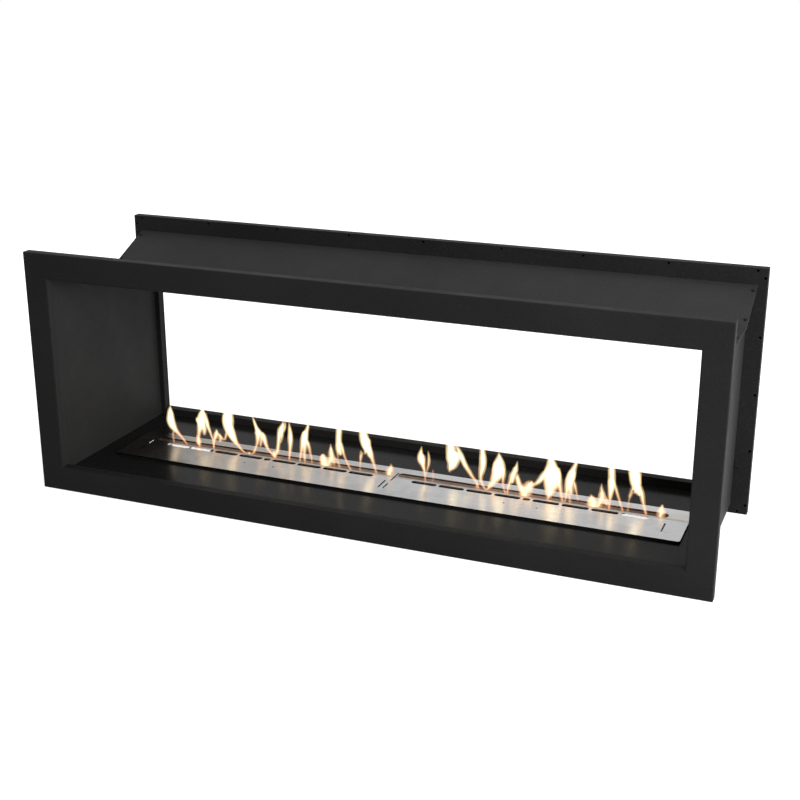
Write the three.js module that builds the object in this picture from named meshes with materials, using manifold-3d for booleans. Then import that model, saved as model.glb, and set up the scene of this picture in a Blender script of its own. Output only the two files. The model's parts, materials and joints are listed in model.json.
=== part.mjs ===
// A double-sided built-in fireplace: a see-through firebox of folded sheet steel between two trim
// frames, with one long stainless steel burner that holds two flame troughs.
//
// Millimetres, +Z up. X runs along the width, Y from the front opening to the back one, and the
// origin is the middle of the footprint.

import * as THREE from 'three';
import Module from 'manifold-3d';
import { mergeVertices } from 'three/addons/utils/BufferGeometryUtils.js';

// Overall sizes
const overallWidth = 1650;
const overallHeight = 597;
const overallDepth = 505;

// Sheets and clearances
const frameSheet = 2;
const skinSheet = 1.5;
const seatGap = 0.3;
const cutOverrun = 4;

// Flanges: how far they stand out past the firebox, and in past its sides
const flangeLip = 40;
const openingLip = 21;

// Trim frames
const trimDepth = 25;
const trimEdgeRadius = 3;
const trimEdgeSteps = 3;

// Screw holes near the outer edge of each flange
const flangeHoleRadius = 3.5;
const flangeHoleInset = 6;
const flangeTopHoleMargin = 23.5;
const flangeSideHoleMargin = 22.5;
const flangeTopHoleCount = 9;
const flangeSideHoleCount = 5;

// Tabs freed by a slit, one beside each side panel
const tabSlitWidth = 2;
const tabWidth = 13;
const tabHeight = 18;
const tabBottom = 113;

// Firebox body
const bodySkirt = 22;
const sideInsulation = 4.1;
const topInsulation = 5;
const panSheet = 2;
const floorSheet = 2;
const floorTop = 42;

// Top tray: it falls from both flanges to a flat middle
const trayInset = 39;
const trayFall = 62;
const trayFlatDepth = 181;
const trayOverhang = 19;
const trayFoldMargin = 1;

// Tray screws, in a row along each end of the tray
const screwShankRadius = 1.9;
const screwHeadRadius = 4.2;
const screwHeadHeight = 2.6;
const screwShoulderShare = 0.5;
const screwCrownShare = 0.5;
const screwLength = 8;
const screwSides = 12;
const screwEdgeInset = 7;
const screwOuterInset = 20;
const screwBendInset = 23;

// Trim clips: spring angles between the flange and the trim's return
const clipSheet = 1.5;
const clipLength = 40;
const clipFlangeLeg = 14;
const clipReturnLeg = 15;
const clipPlaceShare = 0.3;

// Burner plate, which lies on a gasket around the floor's cut-out
const plateMargin = 54.5;
const plateDepth = 171.5;
const plateSheet = 2;
const plateCornerRadius = 6;
const cornerSteps = 6;
const gasketSheet = 3;
const gasketInset = 5;
const gasketClearance = 1.2;
const cutoutClearance = 2;

// Fuel tanks and what they hold
const tankEndOverhang = 40.5;
const tankSideOverhang = 13.75;
const tankSeparation = 2;
const tankSheet = 1.5;
const tankClearance = 2;
const channelHeight = 13.5;
const channelSheet = 1.5;
const channelMargin = 2;
const channelSlotLength = 60;
const channelSlotWidth = 9;
const channelSlotCount = 8;
const woolClearance = 1;

// Flame troughs
const troughEndMargin = 9;
const troughBackMargin = 14.5;
const troughDepth = 25;
const troughCornerRadius = 10;

// Slots, in front of each trough: long ones either side of a short one
const slotToTrough = 16.75;
const slotWidth = 14;
const shortSlotLength = 18.2;
const slotBridge = 5.8;
const slotEndMargin = 51;
const slotRowOffset = 3.5;
const longSlotsPerSide = 4;

// Polished covers under some of the slots, with a land that rises into each slot
const coverSheet = 1;
const coverOverlap = 2;
const coverReach = 9;
const landClearance = 0.2;
const landDrop = 1;
const secondSlotCoveredShare = 0.81;

// Small holes in front of the slots
const smallHoleRadius = 2.6;
const smallHoleFromMiddle = 40;
const smallHoleToSlot = 39.75;

// End slits: the shutter's lug slides along the left one, and the right one takes a lifting hook
const slitWidth = 4;
const leftSlitEndMargin = 5;
const leftSlitInset = 23;
const leftSlitLength = 101.5;
const rightSlitEndMargin = 8;
const rightSlitInset = 23;
const rightSlitLength = 46.7;

// Shutters and the rails under them
const shutterSheet = 1.5;
const shutterMargin = 0.5;
const shutterEndMargin = 2.2;
const lugLength = 22;
const railWidth = 10;
const railHeight = 3.5;

// Places across the width and the depth
const halfWidth = overallWidth / 2;
const halfDepth = overallDepth / 2;
const middleHeight = overallHeight / 2;
const trimBorder = flangeLip + openingLip;
const openingWidth = overallWidth - 2 * trimBorder;
const openingHeight = overallHeight - 2 * trimBorder;
const flangeInner = halfDepth - trimDepth;
const flangeOuter = flangeInner + frameSheet;
const bodyEnd = flangeInner - seatGap;
const outerSkinFace = halfWidth - flangeLip;
const outerSkinBack = outerSkinFace - skinSheet;
const insulationOuter = outerSkinBack - seatGap;
const insulationInner = insulationOuter - sideInsulation;
const innerSkinBack = insulationInner - seatGap;
const innerSkinFace = innerSkinBack - skinSheet;
const panHalfWidth = innerSkinFace - seatGap;

// Heights
const floorUnderside = floorTop - floorSheet;
const plateUnderside = floorTop + seatGap + gasketSheet + seatGap;
const plateTop = plateUnderside + plateSheet;
const tankTop = plateUnderside - seatGap;
const tankBottom = panSheet + tankClearance;
const coverTop = plateUnderside - seatGap;
const coverUnderside = coverTop - coverSheet;
const shutterTop = coverUnderside - seatGap;
const shutterUnderside = shutterTop - shutterSheet;
const railTop = shutterUnderside - seatGap;
const channelBottom = railTop - channelHeight;
const woolTop = channelBottom - woolClearance;

// The tray and how far each layer lies below its upper surface
const trayEnd = outerSkinFace + trayOverhang;
const trayEndHeight = overallHeight - trayInset;
const trayMiddleHeight = trayEndHeight - trayFall;
const foldDrop = frameSheet + seatGap;
const ceilingDrop = foldDrop + topInsulation + seatGap;
const skinDrop = ceilingDrop + skinSheet + seatGap;

// Burner places: the plate is drawn about its middle, and each unit about its own middle
const plateHalfLength = panHalfWidth - plateMargin;
const plateHalfDepth = plateDepth / 2;
const unitFromMiddle = (plateHalfLength - tankEndOverhang) / 2;
const tankHalfLength = unitFromMiddle - tankSeparation / 2;
const tankHalfDepth = plateHalfDepth - tankSideOverhang;
const tankInnerHalfDepth = tankHalfDepth - tankSheet;
const tankInnerHalfLength = tankHalfLength - tankSheet;
const cutoutHalfLength = unitFromMiddle + tankHalfLength + cutoutClearance;
const cutoutHalfDepth = tankHalfDepth + cutoutClearance;
const troughHalfLength = unitFromMiddle - troughEndMargin;
const troughBack = tankInnerHalfDepth - troughBackMargin;
const troughFront = troughBack - troughDepth;
const slotMiddle = troughFront - slotToTrough;
const slotFront = slotMiddle - slotWidth / 2;
const slotRowHalfLength = unitFromMiddle - slotEndMargin;
const longSlotPitch = (slotRowHalfLength - shortSlotLength / 2) / longSlotsPerSide;
const smallHoleMiddle = slotMiddle - smallHoleToSlot;
const leftSlitFromMiddle = unitFromMiddle - leftSlitEndMargin;
const leftSlitFront = leftSlitInset - tankInnerHalfDepth;
const leftSlitBack = leftSlitFront + leftSlitLength;
const rightSlitFromMiddle = unitFromMiddle - rightSlitEndMargin;
const rightSlitFront = rightSlitInset - tankInnerHalfDepth;
const rightSlitBack = rightSlitFront + rightSlitLength;
const channelFront = troughFront - channelMargin - channelSheet;
const channelBack = troughBack + channelMargin + channelSheet;

// The shutter is as deep as what it covers, and lies open in front of the slots
const shutterTravel = troughBack - slotFront + 2 * shutterMargin;
const shutterBack = slotFront - shutterMargin;
const shutterFront = shutterBack - shutterTravel;
const shutterLeftEnd = leftSlitFromMiddle + shutterEndMargin;
const shutterRightEnd = troughHalfLength + shutterMargin;

const wasm = await Module();
wasm.setup();

// Solids

function solidFrom(geometry) {
  geometry.deleteAttribute('normal');
  geometry.deleteAttribute('uv');
  const merged = mergeVertices(geometry);
  return new wasm.Manifold(new wasm.Mesh({
    numProp: 3,
    vertProperties: Float32Array.from(merged.attributes.position.array),
    triVerts: Uint32Array.from(merged.index.array),
  }));
}

function geometryFrom(solid) {
  const mesh = solid.getMesh();
  const geometry = new THREE.BufferGeometry();
  geometry.setAttribute('position', new THREE.BufferAttribute(Float32Array.from(mesh.vertProperties), 3));
  geometry.setIndex(new THREE.BufferAttribute(Uint32Array.from(mesh.triVerts), 1));
  const flat = geometry.toNonIndexed();
  flat.computeVertexNormals();
  return flat;
}

function block(low, high) {
  const size = new THREE.Vector3().subVectors(high, low);
  const middle = new THREE.Vector3().addVectors(low, high).multiplyScalar(0.5);
  return solidFrom(new THREE.BoxGeometry(size.x, size.y, size.z).translate(middle.x, middle.y, middle.z));
}

function at(x, y, z) {
  return new THREE.Vector3(x, y, z);
}

// Outlines and extrusions

function rectangle(Kind, halfLength, halfHeight, middleX, middleY) {
  const outline = new Kind();
  outline.moveTo(middleX - halfLength, middleY - halfHeight);
  outline.lineTo(middleX + halfLength, middleY - halfHeight);
  outline.lineTo(middleX + halfLength, middleY + halfHeight);
  outline.lineTo(middleX - halfLength, middleY + halfHeight);
  outline.closePath();
  return outline;
}

function roundedRectangle(Kind, halfLength, halfHeight, radius, middleX, middleY) {
  const outline = new Kind();
  const left = middleX - halfLength + radius;
  const right = middleX + halfLength - radius;
  const low = middleY - halfHeight + radius;
  const high = middleY + halfHeight - radius;
  outline.absarc(right, low, radius, -Math.PI / 2, 0);
  outline.absarc(right, high, radius, 0, Math.PI / 2);
  outline.absarc(left, high, radius, Math.PI / 2, Math.PI);
  outline.absarc(left, low, radius, Math.PI, 3 * Math.PI / 2);
  outline.closePath();
  return outline;
}

function slotOutline(Kind, length, width, middleX, middleY) {
  const outline = new Kind();
  const fromMiddle = (length - width) / 2;
  outline.absarc(middleX + fromMiddle, middleY, width / 2, -Math.PI / 2, Math.PI / 2);
  outline.absarc(middleX - fromMiddle, middleY, width / 2, Math.PI / 2, 3 * Math.PI / 2);
  outline.closePath();
  return outline;
}

function roundHole(Kind, x, y, radius) {
  return new Kind().absarc(x, y, radius, 0, 2 * Math.PI);
}

function extruded(outline, length) {
  return new THREE.ExtrudeGeometry(outline, {
    depth: length,
    bevelEnabled: false,
    curveSegments: cornerSteps,
  });
}

const standing = new THREE.Matrix4().makeBasis(at(1, 0, 0), at(0, 0, 1), at(0, -1, 0));
const crossing = new THREE.Matrix4().makeBasis(at(0, 1, 0), at(0, 0, 1), at(1, 0, 0));

// The outline is drawn in X and Z, and stands from y = from to y = to
function standingPlate(outline, from, to) {
  return extruded(outline, to - from).applyMatrix4(standing).translate(0, to, 0);
}

// The outline is drawn in X and Y, and lies from z = from to z = to
function lyingPlate(outline, from, to) {
  return extruded(outline, to - from).translate(0, 0, from);
}

// The outline is drawn in Y and Z, and runs from x = from to x = to
function crossPlate(outline, from, to) {
  return extruded(outline, to - from).applyMatrix4(crossing).translate(from, 0, 0);
}

// Materials

const finishes = {
  blackCoat: { color: '#2a2a2b', roughness: 0.45, metalness: 0.1 },
  blackOxide: { color: '#101010', roughness: 0.5, metalness: 0.6 },
  greyCoat: { color: '#3b3b3c', roughness: 0.5, metalness: 0.1 },
  darkFloor: { color: '#1f1e1d', roughness: 0.25, metalness: 0.2 },
  stainless: { color: '#bdbdc0', roughness: 0.3, metalness: 1 },
  polished: { color: '#e6e6e8', roughness: 0.1, metalness: 1 },
  heatedSteel: { color: '#8b6d58', roughness: 0.4, metalness: 0.9 },
  board: { color: '#d8d2c4', roughness: 0.95, metalness: 0 },
  wool: { color: '#ece8de', roughness: 1, metalness: 0 },
  gasket: { color: '#171717', roughness: 0.9, metalness: 0 },
  zinc: { color: '#8f9296', roughness: 0.4, metalness: 1 },
};

const fireplace = new THREE.Group();

function addPiece(parent, name, geometry, finish) {
  const material = new THREE.MeshStandardMaterial({ ...finishes[finish], name: finish });
  const mesh = new THREE.Mesh(geometry, material);
  mesh.name = name;
  parent.add(mesh);
  return mesh;
}

function turnedRound(mesh) {
  mesh.rotation.z = Math.PI;
  return mesh;
}

// Trim frames: a folded face with an outer and an inner return, open towards the flange

function trimFrameGeometry() {
  const face = rectangle(THREE.Shape, halfWidth, middleHeight, 0, middleHeight);
  face.holes.push(rectangle(THREE.Path, openingWidth / 2, openingHeight / 2, 0, middleHeight));
  const returnEnd = flangeOuter + seatGap;
  const solidLength = halfDepth - returnEnd;
  const rounded = new THREE.ExtrudeGeometry(face, {
    depth: solidLength,
    bevelThickness: trimEdgeRadius,
    bevelSize: trimEdgeRadius,
    bevelOffset: -trimEdgeRadius,
    bevelSegments: trimEdgeSteps,
  });
  rounded.applyMatrix4(standing).translate(0, -halfDepth + trimEdgeRadius + solidLength, 0);
  const body = solidFrom(rounded);
  const behind = block(
    at(-halfWidth - cutOverrun, -returnEnd, -cutOverrun),
    at(halfWidth + cutOverrun, -returnEnd + 2 * trimEdgeRadius + cutOverrun, overallHeight + cutOverrun),
  );
  const hollow = rectangle(THREE.Shape, halfWidth - frameSheet, middleHeight - frameSheet, 0, middleHeight);
  hollow.holes.push(
    rectangle(THREE.Path, openingWidth / 2 + frameSheet, openingHeight / 2 + frameSheet, 0, middleHeight),
  );
  const cavity = solidFrom(standingPlate(hollow, -halfDepth + frameSheet, -returnEnd + cutOverrun));
  return geometryFrom(body.subtract(behind).subtract(cavity));
}

function addTrimFrames() {
  addPiece(fireplace, 'front_trim_frame', trimFrameGeometry(), 'blackCoat');
  turnedRound(addPiece(fireplace, 'rear_trim_frame', trimFrameGeometry(), 'blackCoat'));
}

// Mounting flanges

function flangeHoleCentres() {
  const centres = [];
  const topRow = middleHeight - flangeHoleInset;
  const sideRow = halfWidth - flangeHoleInset;
  const topPitch = (overallWidth - 2 * flangeTopHoleMargin) / (flangeTopHoleCount - 1);
  const sidePitch = (overallHeight - 2 * flangeSideHoleMargin) / (flangeSideHoleCount - 1);
  for (const side of [-1, 1]) {
    for (let i = 0; i < flangeTopHoleCount; i += 1) {
      centres.push([-halfWidth + flangeTopHoleMargin + i * topPitch, middleHeight + side * topRow]);
    }
    for (let i = 0; i < flangeSideHoleCount; i += 1) {
      centres.push([side * sideRow, flangeSideHoleMargin + i * sidePitch]);
    }
  }
  return centres;
}

// An L-shaped slit frees a tab beside the side panel
function tabSlit(side) {
  const start = outerSkinFace + seatGap;
  const points = [
    [start, tabBottom],
    [start + tabWidth, tabBottom],
    [start + tabWidth, tabBottom + tabSlitWidth],
    [start + tabSlitWidth, tabBottom + tabSlitWidth],
    [start + tabSlitWidth, tabBottom + tabHeight],
    [start, tabBottom + tabHeight],
  ];
  const path = new THREE.Path();
  path.moveTo(side * points[0][0], points[0][1]);
  for (const [x, z] of points.slice(1)) {
    path.lineTo(side * x, z);
  }
  path.closePath();
  return path;
}

function flangeGeometry() {
  const ring = rectangle(THREE.Shape, halfWidth, middleHeight, 0, middleHeight);
  ring.holes.push(rectangle(THREE.Path, openingWidth / 2, openingHeight / 2, 0, middleHeight));
  for (const [x, z] of flangeHoleCentres()) {
    ring.holes.push(roundHole(THREE.Path, x, z, flangeHoleRadius));
  }
  for (const side of [-1, 1]) {
    ring.holes.push(tabSlit(side));
  }
  return standingPlate(ring, -flangeOuter, -flangeInner);
}

function addFlanges() {
  addPiece(fireplace, 'front_mounting_flange', flangeGeometry(), 'blackCoat');
  turnedRound(addPiece(fireplace, 'rear_mounting_flange', flangeGeometry(), 'blackCoat'));
}

// Trim clips

function clipGeometry() {
  const back = -(flangeOuter + seatGap);
  const returnFace = overallHeight - frameSheet - seatGap;
  const outline = new THREE.Shape();
  outline.moveTo(back, returnFace);
  outline.lineTo(back - clipReturnLeg, returnFace);
  outline.lineTo(back - clipReturnLeg, returnFace - clipSheet);
  outline.lineTo(back - clipSheet, returnFace - clipSheet);
  outline.lineTo(back - clipSheet, returnFace - clipFlangeLeg);
  outline.lineTo(back, returnFace - clipFlangeLeg);
  outline.closePath();
  return crossPlate(outline, -clipLength / 2, clipLength / 2);
}

function addClips() {
  const ends = [['front', 0], ['rear', Math.PI]];
  const edges = [['upper', 1], ['lower', -1]];
  const sides = [['left', -1], ['right', 1]];
  for (const [endName, turn] of ends) {
    for (const [edgeName, up] of edges) {
      for (const [sideName, side] of sides) {
        const holder = new THREE.Group();
        holder.rotation.z = turn;
        const clip = new THREE.Group();
        clip.position.x = side * Math.cos(turn) * clipPlaceShare * overallWidth;
        if (up < 0) {
          clip.rotation.y = Math.PI;
          clip.position.z = overallHeight;
        }
        addPiece(clip, `${endName}_${edgeName}_${sideName}_trim_clip`, clipGeometry(), 'zinc');
        holder.add(clip);
        fireplace.add(holder);
      }
    }
  }
}

// Base pan and floor

function panGeometry() {
  const wallTop = floorUnderside - seatGap;
  const outer = block(at(-panHalfWidth, -bodyEnd, 0), at(panHalfWidth, bodyEnd, wallTop));
  const inner = block(
    at(-panHalfWidth + panSheet, -bodyEnd + panSheet, panSheet),
    at(panHalfWidth - panSheet, bodyEnd - panSheet, wallTop + cutOverrun),
  );
  return geometryFrom(outer.subtract(inner));
}

function floorGeometry() {
  const outline = rectangle(THREE.Shape, panHalfWidth, bodyEnd, 0, 0);
  outline.holes.push(rectangle(THREE.Path, cutoutHalfLength, cutoutHalfDepth, 0, 0));
  return lyingPlate(outline, floorUnderside, floorTop);
}

function addBase() {
  addPiece(fireplace, 'base_pan', panGeometry(), 'blackCoat');
  addPiece(fireplace, 'floor_plate', floorGeometry(), 'darkFloor');
}

// Top profile: the height of the tray's upper surface at a depth

function trayHeight(y) {
  const run = flangeInner - trayFlatDepth / 2;
  const along = Math.max(0, Math.abs(y) - trayFlatDepth / 2) / run;
  return trayMiddleHeight + along * (trayEndHeight - trayMiddleHeight);
}

const profileDepths = [-bodyEnd, -trayFlatDepth / 2, trayFlatDepth / 2, bodyEnd];

// A sheet that follows the profile, its upper surface lowered by drop
function profileSheet(drop, thickness, from, to) {
  const outline = new THREE.Shape();
  outline.moveTo(profileDepths[0], trayHeight(profileDepths[0]) - drop);
  for (const y of profileDepths.slice(1)) {
    outline.lineTo(y, trayHeight(y) - drop);
  }
  for (const y of [...profileDepths].reverse()) {
    outline.lineTo(y, trayHeight(y) - drop - thickness);
  }
  outline.closePath();
  return crossPlate(outline, from, to);
}

// A wall that stands from z = foot up to the profile lowered by drop
function profileWall(foot, drop, from, to) {
  const outline = new THREE.Shape();
  outline.moveTo(bodyEnd, foot);
  for (const y of [...profileDepths].reverse()) {
    outline.lineTo(y, trayHeight(y) - drop);
  }
  outline.lineTo(-bodyEnd, foot);
  outline.closePath();
  return crossPlate(outline, from, to);
}

// Tray screws: each stands square to the part of the tray that it holds down

const screwX = trayEnd - screwEdgeInset;
const screwRows = [
  ['front', -(flangeInner - screwOuterInset)],
  ['front_bend', -(trayFlatDepth / 2 + screwBendInset)],
  ['middle', 0],
  ['rear_bend', trayFlatDepth / 2 + screwBendInset],
  ['rear', flangeInner - screwOuterInset],
];

function screwPose(y) {
  const run = flangeInner - trayFlatDepth / 2;
  const slope = Math.atan2(trayEndHeight - trayMiddleHeight, run);
  const tilt = Math.abs(y) > trayFlatDepth / 2 ? Math.sign(y) * slope : 0;
  const pose = new THREE.Matrix4().makeRotationX(tilt);
  pose.setPosition(0, y, trayHeight(y));
  return pose;
}

// The holes for the screws, as one solid
function screwHoles() {
  const radius = screwShankRadius + seatGap;
  const length = 2 * (screwLength + cutOverrun);
  const holes = [];
  for (const side of [-1, 1]) {
    for (const [, y] of screwRows) {
      const hole = new THREE.CylinderGeometry(radius, radius, length, screwSides);
      hole.rotateX(Math.PI / 2).applyMatrix4(screwPose(y)).translate(side * screwX, 0, 0);
      holes.push(solidFrom(hole));
    }
  }
  return holes.reduce((all, hole) => all.add(hole));
}

function screwGeometry() {
  const headFoot = seatGap;
  const headTop = headFoot + screwHeadHeight;
  const shoulder = headFoot + screwHeadHeight * screwShoulderShare;
  const crown = screwHeadRadius * screwCrownShare;
  const profile = [
    new THREE.Vector2(0, headFoot - screwLength),
    new THREE.Vector2(screwShankRadius, headFoot - screwLength),
    new THREE.Vector2(screwShankRadius, headFoot),
    new THREE.Vector2(screwHeadRadius, headFoot),
    new THREE.Vector2(screwHeadRadius, shoulder),
    new THREE.Vector2(crown, headTop),
    new THREE.Vector2(0, headTop),
  ];
  const screw = solidFrom(new THREE.LatheGeometry(profile, screwSides).rotateX(Math.PI / 2));
  return geometryFrom(screw);
}

function addScrews() {
  for (const [sideName, side] of [['left', -1], ['right', 1]]) {
    for (const [rowName, y] of screwRows) {
      const screw = addPiece(fireplace, `${sideName}_${rowName}_tray_screw`, screwGeometry(), 'blackOxide');
      screw.applyMatrix4(screwPose(y));
      screw.position.x = side * screwX;
    }
  }
}

// Side panels: an outer skin with a fold at its top and foot, insulation, and an inner skin

function outerSkinGeometry() {
  const wall = solidFrom(profileWall(bodySkirt, foldDrop, outerSkinBack, outerSkinFace));
  const fold = solidFrom(profileSheet(foldDrop, skinSheet, outerSkinBack, trayEnd - trayFoldMargin));
  const lip = block(
    at(innerSkinFace, -bodyEnd, bodySkirt),
    at(outerSkinFace, bodyEnd, bodySkirt + skinSheet),
  );
  return geometryFrom(wall.add(fold).add(lip).subtract(screwHoles()));
}

function addSides() {
  const foot = bodySkirt + skinSheet + seatGap;
  addPiece(fireplace, 'right_side_panel', outerSkinGeometry(), 'greyCoat');
  turnedRound(addPiece(fireplace, 'left_side_panel', outerSkinGeometry(), 'greyCoat'));
  const insulation = () => profileWall(foot, skinDrop, insulationInner, insulationOuter);
  addPiece(fireplace, 'right_side_insulation', insulation(), 'board');
  turnedRound(addPiece(fireplace, 'left_side_insulation', insulation(), 'board'));
  const skin = () => profileWall(foot, skinDrop, innerSkinFace, innerSkinBack);
  addPiece(fireplace, 'right_inner_panel', skin(), 'greyCoat');
  turnedRound(addPiece(fireplace, 'left_inner_panel', skin(), 'greyCoat'));
}

function addTop() {
  const tray = solidFrom(profileSheet(0, frameSheet, -trayEnd, trayEnd));
  addPiece(fireplace, 'top_tray', geometryFrom(tray.subtract(screwHoles())), 'greyCoat');
  const insulation = profileSheet(foldDrop, topInsulation, -insulationOuter, insulationOuter);
  addPiece(fireplace, 'top_insulation', insulation, 'board');
  const ceiling = profileSheet(ceilingDrop, skinSheet, -insulationOuter, insulationOuter);
  addPiece(fireplace, 'ceiling_panel', ceiling, 'greyCoat');
}

// Burner plate

// Where each slot of a unit begins and ends, measured from the unit's middle
function slotSpans() {
  const spans = [[slotRowOffset - shortSlotLength / 2, slotRowOffset + shortSlotLength / 2]];
  for (let i = 0; i < longSlotsPerSide; i += 1) {
    const start = shortSlotLength / 2 + slotBridge + i * longSlotPitch;
    const end = start + longSlotPitch - slotBridge;
    spans.push([slotRowOffset + start, slotRowOffset + end]);
    spans.push([slotRowOffset - end, slotRowOffset - start]);
  }
  return spans.sort((a, b) => a[0] - b[0]);
}

function slotShape([start, end], unitMiddle) {
  return slotOutline(THREE.Shape, end - start, slotWidth, unitMiddle + (start + end) / 2, slotMiddle);
}

function slitShape(x, front, back) {
  return rectangle(THREE.Shape, slitWidth / 2, (back - front) / 2, x, (front + back) / 2);
}

function unitCuts(unitMiddle) {
  const troughMiddle = troughFront + troughDepth / 2;
  return [
    roundedRectangle(
      THREE.Shape, troughHalfLength, troughDepth / 2, troughCornerRadius, unitMiddle, troughMiddle,
    ),
    ...slotSpans().map((span) => slotShape(span, unitMiddle)),
    roundHole(THREE.Shape, unitMiddle - smallHoleFromMiddle, smallHoleMiddle, smallHoleRadius),
    roundHole(THREE.Shape, unitMiddle + smallHoleFromMiddle, smallHoleMiddle, smallHoleRadius),
    slitShape(unitMiddle - leftSlitFromMiddle, leftSlitFront, leftSlitBack),
    slitShape(unitMiddle + rightSlitFromMiddle, rightSlitFront, rightSlitBack),
  ];
}

function plateGeometry() {
  const outline = roundedRectangle(
    THREE.Shape, plateHalfLength, plateHalfDepth, plateCornerRadius, 0, 0,
  );
  let plate = solidFrom(lyingPlate(outline, plateUnderside, plateTop));
  for (const unitMiddle of [-unitFromMiddle, unitFromMiddle]) {
    for (const cut of unitCuts(unitMiddle)) {
      const through = lyingPlate(cut, plateUnderside - cutOverrun, plateTop + cutOverrun);
      plate = plate.subtract(solidFrom(through));
    }
  }
  return geometryFrom(plate);
}

// A cover runs under its slots, each given as a span, and starts a little way before them
function coverGeometry(covered) {
  const from = covered[0][0] - coverReach;
  const to = covered[covered.length - 1][1] + coverOverlap;
  const front = slotFront - coverOverlap;
  let cover = block(at(from, front, coverUnderside), at(to, front + slotWidth + 2 * coverOverlap, coverTop));
  for (const [start, end] of covered) {
    const land = slotOutline(
      THREE.Shape, end - start - 2 * landClearance, slotWidth - 2 * landClearance, (start + end) / 2, slotMiddle,
    );
    cover = cover.add(solidFrom(lyingPlate(land, coverUnderside, plateTop - landDrop)));
  }
  return geometryFrom(cover);
}

function gasketGeometry() {
  const outline = rectangle(
    THREE.Shape, plateHalfLength - gasketInset, plateHalfDepth - gasketInset, 0, 0,
  );
  outline.holes.push(
    rectangle(THREE.Path, cutoutHalfLength + gasketClearance, cutoutHalfDepth + gasketClearance, 0, 0),
  );
  return lyingPlate(outline, floorTop + seatGap, plateUnderside - seatGap);
}

// What hangs under each half of the plate, drawn about the middle of that half

function tankGeometry() {
  const outer = block(
    at(-tankHalfLength, -tankHalfDepth, tankBottom),
    at(tankHalfLength, tankHalfDepth, tankTop),
  );
  const inner = block(
    at(-tankInnerHalfLength, -tankInnerHalfDepth, tankBottom + tankSheet),
    at(tankInnerHalfLength, tankInnerHalfDepth, tankTop + cutOverrun),
  );
  return geometryFrom(outer.subtract(inner));
}

function woolGeometry() {
  const wool = block(
    at(-tankInnerHalfLength + seatGap, -tankInnerHalfDepth + seatGap, tankBottom + tankSheet + seatGap),
    at(tankInnerHalfLength - seatGap, tankInnerHalfDepth - seatGap, woolTop),
  );
  return geometryFrom(wool);
}

function channelGeometry() {
  const halfLength = tankInnerHalfLength - seatGap;
  const outer = block(at(-halfLength, channelFront, channelBottom), at(halfLength, channelBack, railTop));
  const inner = block(
    at(-halfLength + channelSheet, channelFront + channelSheet, channelBottom + channelSheet),
    at(halfLength - channelSheet, channelBack - channelSheet, railTop + cutOverrun),
  );
  let channel = outer.subtract(inner);
  const middle = (channelFront + channelBack) / 2;
  const pitch = 2 * troughHalfLength / channelSlotCount;
  for (let i = 0; i < channelSlotCount; i += 1) {
    const x = (i - (channelSlotCount - 1) / 2) * pitch;
    const slot = slotOutline(THREE.Shape, channelSlotLength, channelSlotWidth, x, middle);
    const cut = lyingPlate(slot, channelBottom - cutOverrun, channelBottom + channelSheet + cutOverrun);
    channel = channel.subtract(solidFrom(cut));
  }
  return geometryFrom(channel);
}

function shutterGeometry() {
  const sheet = block(
    at(-shutterLeftEnd, shutterFront, shutterUnderside),
    at(shutterRightEnd, shutterBack, shutterTop),
  );
  const lugBack = leftSlitBack - seatGap - shutterTravel;
  const lugHalfWidth = slitWidth / 2 - seatGap;
  const lug = block(
    at(-leftSlitFromMiddle - lugHalfWidth, lugBack - lugLength, shutterUnderside),
    at(-leftSlitFromMiddle + lugHalfWidth, lugBack, plateTop - seatGap),
  );
  return geometryFrom(sheet.add(lug));
}

function railGeometry() {
  const rail = block(
    at(-railWidth / 2, -tankInnerHalfDepth + seatGap, railTop - railHeight),
    at(railWidth / 2, channelFront - seatGap, railTop),
  );
  return geometryFrom(rail);
}

function addBurner() {
  addPiece(fireplace, 'burner_top_plate', plateGeometry(), 'stainless');
  addPiece(fireplace, 'burner_gasket', gasketGeometry(), 'gasket');
  const railX = shutterLeftEnd - railWidth / 2;
  const rails = [['outer', -1], ['middle', 0], ['inner', 1]];
  const spans = slotSpans();
  const [secondStart, secondEnd] = spans[1];
  const partOfSecond = [secondStart, secondStart + secondSlotCoveredShare * (secondEnd - secondStart)];
  const covered = { left: [spans[0], partOfSecond], right: [spans[spans.length - 1]] };
  for (const [sideName, side] of [['left', -1], ['right', 1]]) {
    const unit = new THREE.Group();
    unit.position.x = side * unitFromMiddle;
    addPiece(unit, `${sideName}_fuel_tank`, tankGeometry(), 'stainless');
    addPiece(unit, `${sideName}_ceramic_wool`, woolGeometry(), 'wool');
    addPiece(unit, `${sideName}_flame_channel`, channelGeometry(), 'heatedSteel');
    addPiece(unit, `${sideName}_shutter`, shutterGeometry(), 'stainless');
    for (const [railName, place] of rails) {
      const rail = addPiece(unit, `${sideName}_${railName}_shutter_rail`, railGeometry(), 'stainless');
      rail.position.x = -side * place * railX;
    }
    addPiece(unit, `${sideName}_slot_cover`, coverGeometry(covered[sideName]), 'polished');
    fireplace.add(unit);
  }
}

addTrimFrames();
addFlanges();
addClips();
addBase();
addSides();
addTop();
addScrews();
addBurner();

export default fireplace;
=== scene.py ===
import json
import math

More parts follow.
